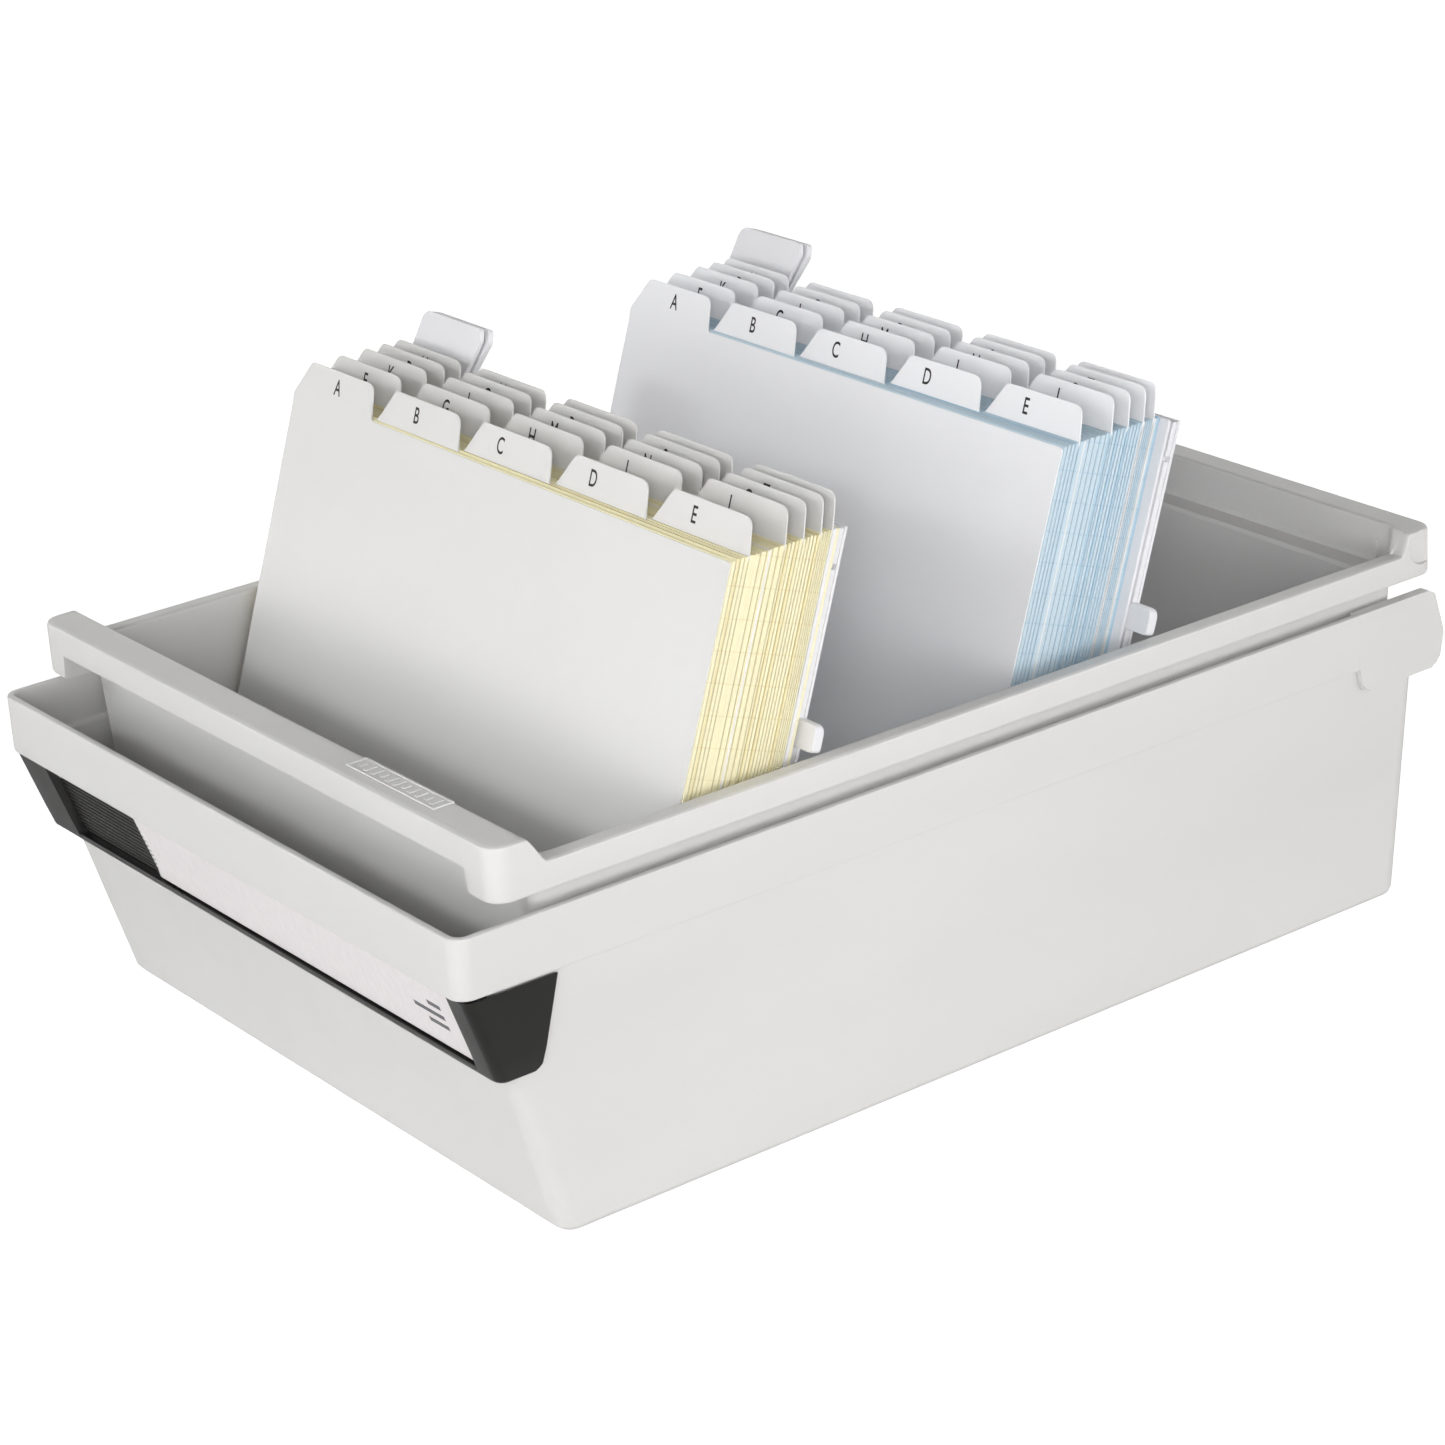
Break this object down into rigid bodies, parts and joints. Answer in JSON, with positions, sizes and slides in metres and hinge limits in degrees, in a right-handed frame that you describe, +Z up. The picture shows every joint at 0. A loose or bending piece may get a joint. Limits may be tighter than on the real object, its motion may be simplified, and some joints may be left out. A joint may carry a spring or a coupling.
{
  "type": "card index box",
  "caption": "Open landscape card index box: a tray standing in its own upturned lid, with lettered guide cards, record cards, support plates and a label holder.",
  "frame": {"origin": "centre of the footprint on the surface that the box stands on", "axes": "+Z up, -Y towards the label and the handle, +X to the right seen from the label side"},
  "size_m": [0.2344, 0.3434, 0.1813],
  "materials": {
    "box_plastic": "light grey moulded polystyrene, satin",
    "guide_plastic": "light grey thin plastic sheet, satin, with a dark index letter on each tab",
    "holder_plastic": "black moulded plastic, low gloss",
    "label_paper": "white label card",
    "card_yellow": "pale yellow record card with ruled lines",
    "card_blue": "pale blue record card with ruled lines"
  },
  "bodies": {
    "lid": {"lid_shell": "box_plastic", "label_holder": "holder_plastic"},
    "label": {"label_card": "label_paper"},
    "tray": {"card_tray": "box_plastic"},
    "front_plate": {"support_plate_front": "box_plastic"},
    "front_a_to_e": {"guide_front_a": "guide_plastic", "guide_front_b": "guide_plastic", "guide_front_c": "guide_plastic", "guide_front_d": "guide_plastic", "guide_front_e": "guide_plastic", "record_cards_front_1": "card_yellow"},
    "front_f_to_j": {"guide_front_f": "guide_plastic", "guide_front_g": "guide_plastic", "guide_front_h": "guide_plastic", "guide_front_i": "guide_plastic", "guide_front_j": "guide_plastic"},
    "front_k_to_o": {"guide_front_k": "guide_plastic", "guide_front_l": "guide_plastic", "guide_front_m": "guide_plastic", "guide_front_n": "guide_plastic", "guide_front_o": "guide_plastic"},
    "front_p_to_t": {"guide_front_p": "guide_plastic", "guide_front_q": "guide_plastic", "guide_front_r": "guide_plastic", "guide_front_s": "guide_plastic", "guide_front_t": "guide_plastic"},
    "front_u_to_z": {"guide_front_u": "guide_plastic", "guide_front_v": "guide_plastic", "guide_front_w": "guide_plastic", "guide_front_xy": "guide_plastic", "guide_front_z": "guide_plastic", "record_cards_front_2": "card_yellow"},
    "rear_plate": {"support_plate_rear": "box_plastic"},
    "rear_a_to_e": {"guide_rear_a": "guide_plastic", "guide_rear_b": "guide_plastic", "guide_rear_c": "guide_plastic", "guide_rear_d": "guide_plastic", "guide_rear_e": "guide_plastic", "record_cards_rear_1": "card_blue"},
    "rear_f_to_j": {"guide_rear_f": "guide_plastic", "guide_rear_g": "guide_plastic", "guide_rear_h": "guide_plastic", "guide_rear_i": "guide_plastic", "guide_rear_j": "guide_plastic"},
    "rear_k_to_o": {"guide_rear_k": "guide_plastic", "guide_rear_l": "guide_plastic", "guide_rear_m": "guide_plastic", "guide_rear_n": "guide_plastic", "guide_rear_o": "guide_plastic"},
    "rear_p_to_t": {"guide_rear_p": "guide_plastic", "guide_rear_q": "guide_plastic", "guide_rear_r": "guide_plastic", "guide_rear_s": "guide_plastic", "guide_rear_t": "guide_plastic"},
    "rear_u_to_z": {"guide_rear_u": "guide_plastic", "guide_rear_v": "guide_plastic", "guide_rear_w": "guide_plastic", "guide_rear_xy": "guide_plastic", "guide_rear_z": "guide_plastic", "record_cards_rear_2": "card_blue"}
  },
  "joints": [
    {"name": "tray_lift", "type": "slide", "parent": "lid", "child": "tray", "axis": [0, 0, 1], "range_m": [0, 0.11]},
    {"name": "label_slide", "type": "slide", "parent": "lid", "child": "label", "axis": [-1, 0, 0], "range_m": [0, 0.042]},
    {"name": "front_plate_slide", "type": "slide", "parent": "tray", "child": "front_plate", "axis": [0, 1, 0], "range_m": [-0.002, 0.02]},
    {"name": "front_a_to_e_flip", "type": "hinge", "parent": "front_plate", "child": "front_a_to_e", "pos_m": [0, -0.12145, 0.0215], "axis": [1, 0, 0], "range_deg": [0, 30]},
    {"name": "front_f_to_j_lift", "type": "slide", "parent": "front_plate", "child": "front_f_to_j", "axis": [0, 0.3256, 0.9455], "range_m": [0, 0.06]},
    {"name": "front_k_to_o_lift", "type": "slide", "parent": "front_plate", "child": "front_k_to_o", "axis": [0, 0.3256, 0.9455], "range_m": [0, 0.06]},
    {"name": "front_p_to_t_lift", "type": "slide", "parent": "front_plate", "child": "front_p_to_t", "axis": [0, 0.3256, 0.9455], "range_m": [0, 0.06]},
    {"name": "front_u_to_z_lift", "type": "slide", "parent": "front_plate", "child": "front_u_to_z", "axis": [0, 0.3256, 0.9455], "range_m": [0, 0.06]},
    {"name": "rear_plate_slide", "type": "slide", "parent": "tray", "child": "rear_plate", "axis": [0, 1, 0], "range_m": [-0.005, 0.07]},
    {"name": "rear_a_to_e_flip", "type": "hinge", "parent": "rear_plate", "child": "rear_a_to_e", "pos_m": [0, -0.00485, 0.0215], "axis": [1, 0, 0], "range_deg": [0, 16]},
    {"name": "rear_f_to_j_lift", "type": "slide", "parent": "rear_plate", "child": "rear_f_to_j", "axis": [0, 0.3256, 0.9455], "range_m": [0, 0.06]},
    {"name": "rear_k_to_o_lift", "type": "slide", "parent": "rear_plate", "child": "rear_k_to_o", "axis": [0, 0.3256, 0.9455], "range_m": [0, 0.06]},
    {"name": "rear_p_to_t_lift", "type": "slide", "parent": "rear_plate", "child": "rear_p_to_t", "axis": [0, 0.3256, 0.9455], "range_m": [0, 0.06]},
    {"name": "rear_u_to_z_lift", "type": "slide", "parent": "rear_plate", "child": "rear_u_to_z", "axis": [0, 0.3256, 0.9455], "range_m": [0, 0.06]}
  ]
}
